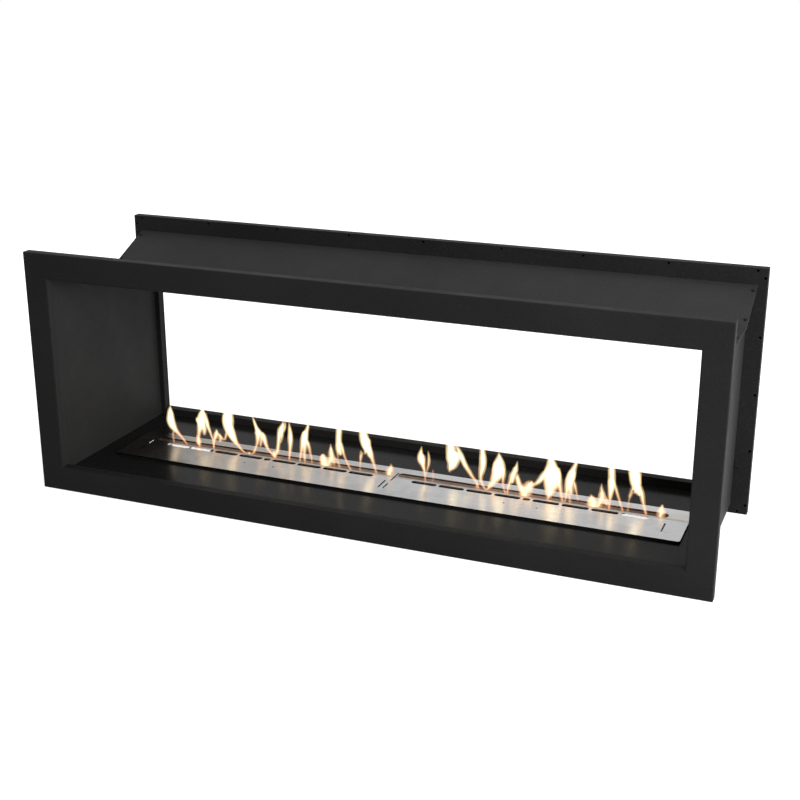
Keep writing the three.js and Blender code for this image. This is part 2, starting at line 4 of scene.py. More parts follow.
import bpy
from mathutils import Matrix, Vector


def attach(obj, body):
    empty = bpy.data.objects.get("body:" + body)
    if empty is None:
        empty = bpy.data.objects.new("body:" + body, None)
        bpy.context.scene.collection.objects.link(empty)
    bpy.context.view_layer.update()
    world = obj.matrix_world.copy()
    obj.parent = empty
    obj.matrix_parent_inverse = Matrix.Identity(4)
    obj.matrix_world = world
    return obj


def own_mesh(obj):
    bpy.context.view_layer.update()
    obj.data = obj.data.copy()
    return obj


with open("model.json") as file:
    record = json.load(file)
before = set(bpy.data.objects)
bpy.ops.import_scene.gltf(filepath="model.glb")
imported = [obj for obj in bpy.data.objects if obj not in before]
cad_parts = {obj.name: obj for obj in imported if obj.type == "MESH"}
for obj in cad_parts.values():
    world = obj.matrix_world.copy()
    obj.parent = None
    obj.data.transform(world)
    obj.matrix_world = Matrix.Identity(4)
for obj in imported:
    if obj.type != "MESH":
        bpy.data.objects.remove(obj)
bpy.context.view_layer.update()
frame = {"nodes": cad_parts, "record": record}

nodes = frame["nodes"]
MM = 0.001

# Where things lie on the object, in metres. A pair in brackets is where a shade starts and where it ends
TROUGH_Y = 43.5 * MM
BESIDE_TROUGH = (0.0125, 0.024)
CHANNEL_FRONT = 0.0277
CHANNEL_LEFT_END = (-0.66, -0.625)
PLATE_LEFT_HALF = (-0.6, 0.25)
PLATE_LEFT_END = (-0.67, -0.61)
PLATE_SHEET_BOTTOM = 0.0454
LEFT_COVER_END = -0.505
RIGHT_COVER_START = 0.577
SLOTS_FRONT, SLOTS_BACK = 0.005, 0.029
STRIP_FRONT, STRIP_BACK = 0.0205, 0.0325
MIDDLE_RAIL_X = 0.341
RAIL_HALF_WIDTH = 0.006
RAIL_HALF_LENGTH = 0.0703
RAIL_BOTTOM, RAIL_TOP = 0.030, 0.0424
RETURN_X = 0.7645
RETURN_BOTTOM, RETURN_TOP = 0.0612, 0.5358

# Colours used more than once
# Soot on the shutter rails, and painted shadow at the channel's left end
SOOT_AND_SHADE = (0.03, 0.025, 0.022, 1)
WORN = (0.075, 0.073, 0.07, 1)

# Light: how bright reflections show the floor, what the sky adds to the lamps, and where the lamps point
FLOOR_IN_REFLECTIONS = 0.62
SKY_LIGHT = 0.3
LAMP_AIM = Vector((0, 0, 0.3))


# Camera: the photograph's own viewpoint

def make_camera():
    data = bpy.data.cameras.new("photo_camera")
    data.lens = 60
    data.sensor_width = 36
    data.clip_end = 60
    camera = bpy.data.objects.new("photo_camera", data)
    camera.location = (1.14858, -2.77166, 1.28716)
    camera.rotation_euler = (math.radians(71.008), 0, math.radians(21.975))
    bpy.context.scene.collection.objects.link(camera)
    bpy.context.scene.camera = camera


# Helpers for materials

def new_material(name):
    """Gives a material with node tree and its Principled shader."""
    material = bpy.data.materials.new(name)
    material.use_nodes = True
    tree = material.node_tree
    return material, tree, tree.nodes["Principled BSDF"]


def join(tree, value, socket):
    """Links a socket's value, or writes a plain one."""
    if isinstance(value, bpy.types.NodeSocket):
        tree.links.new(value, socket)
    else:
        socket.default_value = value


def add(tree, kind, inputs=None, **settings):
    """Adds a node, sets its properties and fills its inputs by name or number."""
    node = tree.nodes.new("ShaderNode" + kind)
    for key, value in settings.items():
        setattr(node, key, value)
    for key, value in (inputs or {}).items():
        join(tree, value, node.inputs[key])
    return node


def place(tree, scale=(1, 1, 1)):
    """Places on the piece in metres, stretched by scale."""
    coordinates = add(tree, "TexCoord")
    return add(tree, "Mapping", {"Vector": coordinates.outputs["Object"], "Scale": scale}).outputs[0]


def noise(tree, where, scale, detail=3.0, roughness=0.5):
    """Smooth noise around 0.5."""
    return add(tree, "TexNoise", {"Vector": where, "Scale": scale, "Detail": detail,
                                  "Roughness": roughness}).outputs["Fac"]


def spread(tree, value, low, high, to_low, to_high, kind="LINEAR"):
    """Maps a value from one range to another."""
    inputs = {"Value": value, "From Min": low, "From Max": high, "To Min": to_low, "To Max": to_high}
    return add(tree, "MapRange", inputs, interpolation_type=kind).outputs["Result"]


def maths(tree, operation, first, second=0.0, clamp=False):
    return add(tree, "Math", {0: first, 1: second}, operation=operation, use_clamp=clamp).outputs[0]


def mix(tree, factor, first, second):
    node = add(tree, "Mix", data_type="RGBA")
    for socket, value in ((node.inputs[0], factor), (node.inputs[6], first), (node.inputs[7], second)):
        join(tree, value, socket)
    return node.outputs[2]


def split(tree, vector):
    """The x, y and z of a vector."""
    return add(tree, "SeparateXYZ", {0: vector}).outputs


def inside(tree, value, low, high, soft):
    """1 from low + soft to high - soft, and 0 outside low and high."""
    return maths(tree, "MULTIPLY", spread(tree, value, low, low + soft, 0.0, 1.0),
                 spread(tree, value, high - soft, high, 1.0, 0.0))


def grey(value):
    return (value, value, value, 1.0)


def bump(tree, height, distance, strength, normal=None):
    inputs = {"Height": height, "Distance": distance, "Strength": strength}
    if normal is not None:
        inputs["Normal"] = normal
    return add(tree, "Bump", inputs).outputs["Normal"]


def edge_mask(tree, radius):
    """1 on sharp edges and 0 on flat faces."""
    rounded = add(tree, "Bevel", {"Radius": radius}, samples=6).outputs[0]
    flat = add(tree, "NewGeometry").outputs["Normal"]
    dot = add(tree, "VectorMath", {0: rounded, 1: flat}, operation="DOT_PRODUCT").outputs["Value"]
    return spread(tree, maths(tree, "SUBTRACT", 1.0, dot), 0.02, 0.25, 0.0, 1.0, "SMOOTHSTEP")


# Materials

def powder_coat(name, dark, light, roughness, specular, grain=0.25, wear=0.5, painted_light_returns=None):
    """Baked-on coat: fine orange peel, cloudy shade, edges rubbed thin, and perhaps side returns painted lighter as
    painted light.
    """
    material, tree, shader = new_material(name)
    where = place(tree)
    cloud = noise(tree, where, 3.2, 4.0, 0.55)
    colour = mix(tree, spread(tree, cloud, 0.3, 0.7, 0.0, 1.0), dark, light)
    if painted_light_returns is not None:
        # Painted light: the upright side returns of the opening are painted a lighter grey than the rest of the coat
        x, _, z = split(tree, where)
        across = spread(tree, maths(tree, "ABSOLUTE", x), RETURN_X - 0.0004, RETURN_X, 1.0, 0.0)
        upright = inside(tree, z, RETURN_BOTTOM, RETURN_TOP, 0.0006)
        colour = mix(tree, maths(tree, "MULTIPLY", across, upright), colour, painted_light_returns)
    speckle = noise(tree, where, 420.0, 2.0, 0.6)
    colour = mix(tree, spread(tree, speckle, 0.56, 0.75, 0.0, 0.3), colour, WORN)
    patches = noise(tree, where, 38.0, 3.0, 0.65)
    edges = maths(tree, "MULTIPLY", edge_mask(tree, 0.0016), spread(tree, patches, 0.4, 0.62, 0.15, wear))
    join(tree, mix(tree, edges, colour, WORN), shader.inputs["Base Color"])
    smear = noise(tree, where, 11.0, 5.0, 0.6)
    rough = spread(tree, smear, 0.3, 0.7, roughness - 0.06, roughness + 0.07)
    join(tree, maths(tree, "SUBTRACT", rough, maths(tree, "MULTIPLY", edges, 0.12)), shader.inputs["Roughness"])
    peel = noise(tree, where, 650.0, 2.0, 0.5)
    waves = noise(tree, where, 7.0, 1.0, 0.4)
    normal = bump(tree, waves, 0.0006, 0.12)
    join(tree, bump(tree, peel, 0.00012, grain, normal), shader.inputs["Normal"])
    shader.inputs["Specular IOR Level"].default_value = specular
    return material


def brushed_steel():
    """Stainless sheet brushed along its length, with heat tints and soot around the flame troughs, painted shade in
    its slots, a painted reflection at its left end and painted highlights on the cut edges at the covered slots.
    """
    material, tree, shader = new_material("stainless_steel")
    where = place(tree)
    strokes = noise(tree, place(tree, (5, 1400, 1400)), 1.0, 3.0, 0.6)
    long_strokes = noise(tree, place(tree, (1.6, 320, 320)), 1.0, 2.0, 0.5)
    shade = maths(tree, "ADD", maths(tree, "MULTIPLY", strokes, 0.6), maths(tree, "MULTIPLY", long_strokes, 0.4))
    colour = mix(tree, spread(tree, shade, 0.35, 0.65, 0.0, 1.0), (0.56, 0.562, 0.566, 1), (0.65, 0.65, 0.655, 1))
    x, y, z = split(tree, where)
    # Painted reflection of the dark left side wall: darker and browner to the left, and most at the left end
    colour = mix(tree, spread(tree, x, *PLATE_LEFT_HALF, 0.7, 0.0, "SMOOTHSTEP"), colour, (0.27, 0.235, 0.195, 1))
    colour = mix(tree, spread(tree, x, *PLATE_LEFT_END, 0.6, 0.0, "SMOOTHSTEP"), colour, (0.10, 0.092, 0.085, 1))
    # Straw tint on both sides of the troughs, and a browner strip between them and the slots
    beside = maths(tree, "ABSOLUTE", maths(tree, "SUBTRACT", y, TROUGH_Y))
    tint = spread(tree, beside, *BESIDE_TROUGH, 0.4, 0.0, "SMOOTHSTEP")
    tint = maths(tree, "MULTIPLY", tint, noise(tree, where, 26.0, 3.0, 0.6))
    colour = mix(tree, tint, colour, (0.5, 0.36, 0.2, 1))
    strip = maths(tree, "MULTIPLY", inside(tree, y, STRIP_FRONT, STRIP_BACK, 0.002), 0.4)
    colour = mix(tree, strip, colour, (0.24, 0.20, 0.17, 1))
    # Cut edges of the plate: soot and painted shade, near black in the slots and brown at the troughs, and a painted
    # white highlight where a slot has its polished cover
    facing = maths(tree, "ABSOLUTE", split(tree, add(tree, "TexCoord").outputs["Normal"])["Z"])
    cut = maths(tree, "MULTIPLY", spread(tree, facing, 0.3, 0.5, 1.0, 0.0),
                spread(tree, z, PLATE_SHEET_BOTTOM, PLATE_SHEET_BOTTOM + 0.0002, 0.0, 1.0))
    slots = spread(tree, y, SLOTS_BACK - 0.001, SLOTS_BACK, 1.0, 0.0)
    covered = maths(tree, "MAXIMUM", spread(tree, x, LEFT_COVER_END, LEFT_COVER_END + 0.001, 1.0, 0.0),
                    spread(tree, x, RIGHT_COVER_START, RIGHT_COVER_START + 0.001, 0.0, 1.0))
    covered = maths(tree, "MULTIPLY", covered, inside(tree, y, SLOTS_FRONT, SLOTS_BACK, 0.001))
    painted_cover_highlight = maths(tree, "MULTIPLY", cut, covered)
    soot_and_painted_shade = maths(tree, "MULTIPLY", maths(tree, "SUBTRACT", cut, painted_cover_highlight), spread(tree, slots, 0.0, 1.0, 0.5, 1.0))
    colour = mix(tree, soot_and_painted_shade, colour, mix(tree, slots, (0.07, 0.045, 0.036, 1), (0.008, 0.007, 0.006, 1)))
    colour = mix(tree, painted_cover_highlight, colour, grey(0.95))
    # Middle shutter rails, seen through the troughs and sooty
    beside = maths(tree, "ABSOLUTE", maths(tree, "SUBTRACT", maths(tree, "ABSOLUTE", x), MIDDLE_RAIL_X))
    along = maths(tree, "ABSOLUTE", y)
    rail = maths(tree, "MULTIPLY", spread(tree, beside, RAIL_HALF_WIDTH - 0.0004, RAIL_HALF_WIDTH, 1.0, 0.0),
                 maths(tree, "MULTIPLY", spread(tree, z, RAIL_TOP - 0.0002, RAIL_TOP, 1.0, 0.0),
                       spread(tree, z, RAIL_BOTTOM, RAIL_BOTTOM + 0.001, 0.0, 1.0)))
    rail = maths(tree, "MULTIPLY", rail, spread(tree, along, RAIL_HALF_LENGTH - 0.0001, RAIL_HALF_LENGTH, 0.95, 0.0))
    colour = mix(tree, rail, colour, SOOT_AND_SHADE)
    join(tree, colour, shader.inputs["Base Color"])
    # The painted white highlight on the covered slots' cut edges is not metallic
    join(tree, maths(tree, "SUBTRACT", 1.0, painted_cover_highlight), shader.inputs["Metallic"])
    smudge = noise(tree, where, 16.0, 5.0, 0.6)
    rough = maths(tree, "ADD", spread(tree, strokes, 0.3, 0.7, 0.25, 0.33),
                  spread(tree, smudge, 0.5, 0.75, 0.0, 0.09))
    join(tree, rough, shader.inputs["Roughness"])
    shader.inputs["Anisotropic"].default_value = 0.88
    join(tree, add(tree, "CombineXYZ", {"Y": 1.0}).outputs[0], shader.inputs["Tangent"])
    normal = bump(tree, strokes, 0.00005, 0.3)
    join(tree, bump(tree, edge_mask(tree, 0.0008), 0.0001, 0.2, normal), shader.inputs["Normal"])
    return material


def polished_steel():
    """Bright slot covers: mirror polished, with a faint haze and hairlines."""
    material, tree, shader = new_material("polished_steel")
    hairlines = noise(tree, place(tree, (30, 900, 900)), 1.0, 3.0, 0.6)
    haze = noise(tree, place(tree), 40.0, 4.0, 0.6)
    colour = mix(tree, spread(tree, haze, 0.3, 0.7, 0.0, 1.0), (0.90, 0.90, 0.90, 1), (0.98, 0.98, 0.98, 1))
    join(tree, colour, shader.inputs["Base Color"])
    shader.inputs["Metallic"].default_value = 0.8
    join(tree, spread(tree, haze, 0.3, 0.7, 0.06, 0.12), shader.inputs["Roughness"])
    join(tree, bump(tree, hairlines, 0.00003, 0.2), shader.inputs["Normal"])
    return material


def heat_tinted_steel():
    """Flame channel: steel gone brown from the heat, with sooty patches, and painted shadow over its left end and on
    its front.
    """
    material, tree, shader = new_material("heat_tinted_steel")
    where = place(tree)
    bands = noise(tree, place(tree, (14, 60, 60)), 1.0, 4.0, 0.55)
    ramp = add(tree, "ValToRGB", {"Fac": bands})
    elements = ramp.color_ramp.elements
    elements[0].position, elements[0].color = 0.3, (0.33, 0.23, 0.175, 1)
    elements[1].position, elements[1].color = 0.72, (0.54, 0.435, 0.37, 1)
    middle = elements.new(0.5)
    middle.color = (0.44, 0.33, 0.265, 1)
    soot = noise(tree, where, 55.0, 5.0, 0.65)
    colour = mix(tree, spread(tree, soot, 0.5, 0.72, 0.0, 0.5), ramp.outputs["Color"], (0.12, 0.09, 0.075, 1))
    x, y, _ = split(tree, where)
    # Painted shadow: the channel darkened towards its left end
    colour = mix(tree, spread(tree, x, *CHANNEL_LEFT_END, 0.85, 0.0, "SMOOTHSTEP"), colour, SOOT_AND_SHADE)
    # Painted shadow: the channel's front face, seen through the slots, painted near black
    front = spread(tree, y, CHANNEL_FRONT, CHANNEL_FRONT + 0.0008, 1.0, 0.0)
    colour = mix(tree, front, colour, (0.012, 0.010, 0.009, 1))
    join(tree, colour, shader.inputs["Base Color"])
    shader.inputs["Metallic"].default_value = 0.4
    join(tree, spread(tree, soot, 0.3, 0.7, 0.34, 0.6), shader.inputs["Roughness"])
    join(tree, bump(tree, soot, 0.0002, 0.25), shader.inputs["Normal"])
    return material


def black_oxide():
    """Blackened screws: a dull black skin, thinner on the edges."""
    material, tree, shader = new_material("black_oxide")
    where = place(tree)
    mottle = noise(tree, where, 500.0, 4.0, 0.6)
    colour = mix(tree, spread(tree, mottle, 0.35, 0.65, 0.0, 1.0), grey(0.003), grey(0.008))
    join(tree, mix(tree, maths(tree, "MULTIPLY", edge_mask(tree, 0.0004), 0.4), colour, grey(0.04)),
         shader.inputs["Base Color"])
    join(tree, spread(tree, mottle, 0.3, 0.7, 0.5, 0.65), shader.inputs["Roughness"])
    shader.inputs["Specular IOR Level"].default_value = 0.1
    join(tree, bump(tree, mottle, 0.00004, 0.2), shader.inputs["Normal"])
    return material


def zinc_plate():
    """Zinc-plated clips: bluish spangle, dull recesses."""
    material, tree, shader = new_material("zinc_plate")
    where = place(tree)
    spangle = add(tree, "TexVoronoi", {"Vector": where, "Scale": 700.0}).outputs["Distance"]
    colour = mix(tree, spread(tree, spangle, 0.1, 0.7, 0.0, 1.0), (0.20, 0.21, 0.22, 1), (0.34, 0.345, 0.35, 1))
    edges = edge_mask(tree, 0.0006)
    join(tree, mix(tree, maths(tree, "MULTIPLY", edges, 0.6), colour, grey(0.5)), shader.inputs["Base Color"])
    shader.inputs["Metallic"].default_value = 1.0
    join(tree, spread(tree, noise(tree, where, 240.0), 0.3, 0.7, 0.32, 0.48), shader.inputs["Roughness"])
    join(tree, bump(tree, spangle, 0.00006, 0.2), shader.inputs["Normal"])
    return material


def fibres(name, low, high, scale, stretch, depth, roughness=0.95):
    """Matted fibres: three layers of stretched noise that cross each other."""
    material, tree, shader = new_material(name)
    layers = [noise(tree, place(tree, tuple(scale * s for s in turn)), 1.0, 3.0, 0.6)
              for turn in ((1, stretch, stretch), (stretch, 1, stretch), (stretch, stretch, 1))]
    top = maths(tree, "MAXIMUM", maths(tree, "MAXIMUM", layers[0], layers[1]), layers[2])
    clumps = noise(tree, place(tree), scale * 0.35, 3.0, 0.6)
    shade = maths(tree, "MULTIPLY", spread(tree, top, 0.45, 0.75, 0.35, 1.0),
                  spread(tree, clumps, 0.3, 0.7, 0.7, 1.0))
    join(tree, mix(tree, shade, low, high), shader.inputs["Base Color"])
    join(tree, spread(tree, clumps, 0.3, 0.7, roughness - 0.08, roughness), shader.inputs["Roughness"])
    shader.inputs["Specular IOR Level"].default_value = 0.2
    join(tree, bump(tree, top, depth, 0.6), shader.inputs["Normal"])
    return material


def flame_material():
    """Glowing gas: pale yellow above, orange below, and see-through, most at its rim and low down."""
    material, tree, shader = new_material("flame")
    values = add(tree, "SeparateColor", {0: add(tree, "Attribute", attribute_name="burn").outputs["Color"]})
    inward, height, strength = values.outputs["Red"], values.outputs["Green"], values.outputs["Blue"]
    wisps = noise(tree, place(tree, (130, 130, 34)), 1.0, 3.0, 0.55)
    inward = maths(tree, "MULTIPLY", inward, spread(tree, wisps, 0.3, 0.7, 0.7, 1.3))
    rim = spread(tree, inward, 0.0, 0.12, 0.0, 1.0, "SMOOTHSTEP")
    core = spread(tree, inward, 0.05, 0.45, 0.0, 1.0, "SMOOTHSTEP")
    upper = spread(tree, height, 0.28, 0.58, 0.0, 1.0, "SMOOTHSTEP")
    rim_colour = mix(tree, upper, (0.75, 0.33, 0.14, 1), (1.0, 0.70, 0.32, 1))
    core_colour = mix(tree, upper, (0.75, 0.53, 0.32, 1), (1.0, 0.90, 0.66, 1))
    shader.inputs["Base Color"].default_value = (0, 0, 0, 1)
    shader.inputs["Roughness"].default_value = 1.0
    shader.inputs["Specular IOR Level"].default_value = 0.0
    join(tree, mix(tree, core, rim_colour, core_colour), shader.inputs["Emission Color"])
    shader.inputs["Emission Strength"].default_value = 3.1
    body = maths(tree, "MULTIPLY", rim, spread(tree, core, 0.0, 1.0, 0.16, 0.42))
    body = maths(tree, "MULTIPLY", body, spread(tree, upper, 0.0, 1.0, 0.8, 1.0))
    join(tree, maths(tree, "MULTIPLY", body, strength, clamp=True), shader.inputs["Alpha"])
    return material


def dress():
    """Gives every CAD node its material by the slot that the record names."""
    coats = {
        # The black coat's side returns are painted lighter, as painted light
        "black_coat": powder_coat("black_coat", grey(0.0124), grey(0.0168), 0.52, 0.03, painted_light_returns=grey(0.0235)),
        "grey_coat": powder_coat("grey_coat", grey(0.0190), grey(0.0256), 0.55, 0.08),
        "floor_coat": powder_coat("floor_coat", grey(0.0092), grey(0.0116), 0.21, 0.031, grain=0.08, wear=0.3),
        "stainless_steel": brushed_steel(),
        "polished_steel": polished_steel(),
        "heat_tinted_steel": heat_tinted_steel(),
        "black_oxide": black_oxide(),
        "zinc_plate": zinc_plate(),
        "insulation_board": fibres("insulation_board", (0.48, 0.44, 0.37, 1), (0.72, 0.69, 0.61, 1),
                                   scale=220, stretch=0.15, depth=0.0004),
        "ceramic_wool": fibres("ceramic_wool", (0.84, 0.83, 0.80, 1), (0.96, 0.96, 0.95, 1),
                               scale=420, stretch=0.1, depth=0.0008),
        "gasket_felt": fibres("gasket_felt", grey(0.006), grey(0.03), scale=900, stretch=0.2, depth=0.0002,
                              roughness=0.9),
    }
    for part in frame["record"]["subparts"]:
        piece = nodes[part["node"]]
        piece.data.materials.clear()
        piece.data.materials.append(coats[part["material_slot"]])


# Flames. Each tongue is a list of (x, z, width) in millimetres from its tip down, in the plane of the troughs.
# The first number of each entry is how solid it looks. The later tongues of each list fill the bodies of the first.

LEFT_TONGUES = [
    (1.0, [(-633, 143, 3), (-634, 132, 14), (-633, 118, 22), (-632, 102, 27), (-626, 87, 27), (-615, 73, 19),
           (-603, 61, 11), (-594, 50, 7), (-587, 41, 4), (-583, 36, 3)]),
    (0.5, [(-624, 80, 7), (-628, 65, 8), (-628, 53, 5), (-627, 43, 3), (-627, 36, 2)]),
    (1.0, [(-532, 161, 3), (-535, 144, 12), (-538, 129, 24), (-542, 112, 26), (-547, 95, 20), (-551, 78, 12),
           (-553, 63, 13), (-552, 52, 17), (-550, 43, 7), (-549, 36, 5)]),
    (0.9, [(-529, 137, 11), (-525, 119, 13), (-522, 103, 12), (-518, 90, 10), (-514, 77, 7), (-510, 65, 6),
           (-508, 52, 4), (-507, 43, 3), (-506, 36, 2)]),
    (0.7, [(-554, 123, 5), (-553, 114, 12), (-548, 106, 13), (-545, 97, 8)]),
    (0.9, [(-499, 97, 3), (-498, 88, 13), (-501, 77, 16), (-505, 66, 10), (-508, 52, 4), (-509, 43, 3),
           (-510, 36, 2)]),
    (0.8, [(-492, 86, 8), (-485, 76, 10), (-477, 71, 9), (-473, 77, 8), (-470, 87, 9), (-466, 102, 13)]),
    (1.0, [(-464, 177, 3), (-463, 161, 18), (-462, 145, 29), (-462, 127, 35), (-461, 109, 32), (-455, 92, 29),
           (-447, 77, 21), (-437, 63, 14), (-427, 51, 10), (-416, 43, 10), (-408, 40, 5), (-402, 36, 4)]),
    (0.9, [(-394, 147, 2), (-390, 137, 7), (-386, 126, 10), (-382, 117, 13), (-377, 106, 21), (-377, 94, 16),
           (-379, 78, 11), (-385, 62, 8), (-392, 48, 9), (-401, 40, 8), (-405, 36, 6)]),
    (0.9, [(-366, 107, 5), (-363, 98, 16), (-359, 85, 16), (-354, 72, 13), (-348, 61, 10), (-339, 53, 13),
           (-332, 48, 9), (-328, 42, 6), (-325, 36, 4)]),
    (1.0, [(-303, 146, 3), (-305, 135, 12), (-311, 122, 18), (-316, 107, 15), (-319, 91, 11), (-321, 75, 11),
           (-324, 61, 12), (-331, 50, 9), (-334, 42, 6), (-335, 36, 4)]),
    (1.0, [(-289, 144, 2), (-287, 131, 9), (-285, 116, 13), (-285, 99, 16), (-286, 82, 13), (-288, 66, 9),
           (-290, 48, 4), (-290, 41, 3), (-290, 36, 2)]),
    (0.7, [(-300, 143, 4), (-301, 129, 7), (-305, 114, 6)]),
    (1.0, [(-231, 159, 2), (-234, 144, 8), (-238, 131, 12), (-244, 117, 20), (-249, 102, 21), (-253, 87, 15),
           (-256, 71, 9), (-259, 53, 5), (-261, 43, 3), (-262, 36, 2)]),
    (0.8, [(-242, 108, 10), (-237, 96, 12), (-233, 84, 9), (-231, 72, 7), (-228, 59, 4), (-227, 47, 3),
           (-226, 36, 2)]),
    (0.4, [(-247, 90, 8), (-247, 72, 11), (-246, 54, 9), (-246, 41, 4), (-246, 36, 3)]),
    (0.9, [(-199, 71, 5), (-196, 62, 19), (-193, 53, 26), (-190, 45, 27), (-188, 40, 16), (-187, 36, 12)]),
    (0.8, [(-174, 103, 2), (-174, 91, 8), (-174, 79, 15), (-173, 67, 20), (-178, 54, 20), (-183, 42, 14),
           (-185, 36, 10)]),
    (0.5, [(-164, 70, 7), (-157, 61, 11), (-153, 52, 9), (-150, 42, 4), (-149, 36, 3)]),
    (1.0, [(-149, 170, 3), (-150, 157, 12), (-151, 143, 17), (-152, 126, 17), (-152, 108, 17), (-153, 92, 15),
           (-154, 79, 8), (-154, 63, 4)]),
    (0.9, [(-146, 109, 9), (-142, 92, 10), (-137, 77, 8), (-131, 63, 6), (-125, 51, 6), (-119, 41, 5),
           (-116, 36, 4)]),
    (1.0, [(-88, 174, 3), (-87, 159, 16), (-84, 144, 24), (-81, 128, 28), (-78, 112, 26), (-78, 99, 16),
           (-82, 88, 7)]),
    (0.9, [(-69, 111, 14), (-65, 96, 15), (-61, 79, 12), (-56, 62, 9), (-52, 48, 6), (-50, 41, 3), (-49, 36, 2)]),
    (0.5, [(-86, 93, 8), (-91, 81, 9), (-93, 67, 5), (-94, 53, 4), (-94, 43, 3), (-94, 36, 2)]),
    (0.7, [(-12, 74, 2), (-11, 65, 12), (-13, 55, 19), (-16, 47, 20), (-17, 41, 16), (-18, 36, 11)]),
    (0.6, [(-534, 146, 2), (-535, 140, 15), (-539, 121, 25), (-537, 105, 24), (-534, 92, 18), (-535, 78, 10),
           (-535, 74, 2)]),
    (0.6, [(-558, 73, 2), (-556, 68, 7), (-553, 60, 13), (-553, 52, 11), (-553, 48, 2)]),
    (0.5, [(-496, 88, 2), (-493, 84, 10), (-488, 78, 16), (-486, 72, 19), (-489, 65, 12), (-491, 61, 2)]),
    (0.8, [(-465, 122, 2), (-462, 113, 24), (-456, 94, 28), (-449, 78, 23), (-443, 66, 14), (-440, 61, 2)]),
    (0.6, [(-370, 111, 2), (-369, 106, 11), (-367, 95, 16), (-369, 81, 12), (-372, 69, 7), (-373, 65, 2)]),
    (0.7, [(-405, 49, 2), (-405, 44, 13), (-405, 40, 16), (-405, 35, 2)]),
    (0.8, [(-335, 62, 2), (-333, 57, 12), (-331, 51, 20), (-328, 43, 2)]),
    (0.6, [(-304, 138, 2), (-305, 133, 10), (-309, 114, 14), (-311, 98, 10), (-314, 86, 6), (-315, 82, 2)]),
    (0.6, [(-243, 129, 2), (-243, 123, 16), (-244, 107, 19), (-245, 94, 20), (-246, 80, 15), (-248, 64, 10),
           (-248, 51, 6), (-248, 47, 2)]),
    (0.3, [(-237, 89, 2), (-236, 84, 7), (-232, 71, 8), (-230, 58, 6), (-229, 54, 2)]),
    (0.9, [(-196, 74, 2), (-195, 68, 16), (-193, 55, 23), (-191, 43, 21), (-192, 34, 12), (-193, 35, 2)]),
    (0.5, [(-174, 94, 2), (-173, 89, 9), (-171, 74, 15), (-167, 61, 17), (-165, 51, 12), (-164, 46, 2)]),
    (0.8, [(-152, 113, 2), (-151, 107, 15), (-149, 92, 14), (-147, 80, 12), (-146, 75, 2)]),
    (0.8, [(-82, 135, 2), (-80, 126, 27), (-76, 112, 25), (-71, 98, 20), (-67, 85, 13), (-65, 80, 2)]),
    (0.4, [(-92, 97, 2), (-92, 92, 7), (-93, 78, 8), (-93, 67, 5), (-93, 63, 2)]),
    (0.8, [(-11, 67, 2), (-13, 62, 10), (-16, 54, 17), (-17, 47, 16), (-18, 41, 2)]),
]
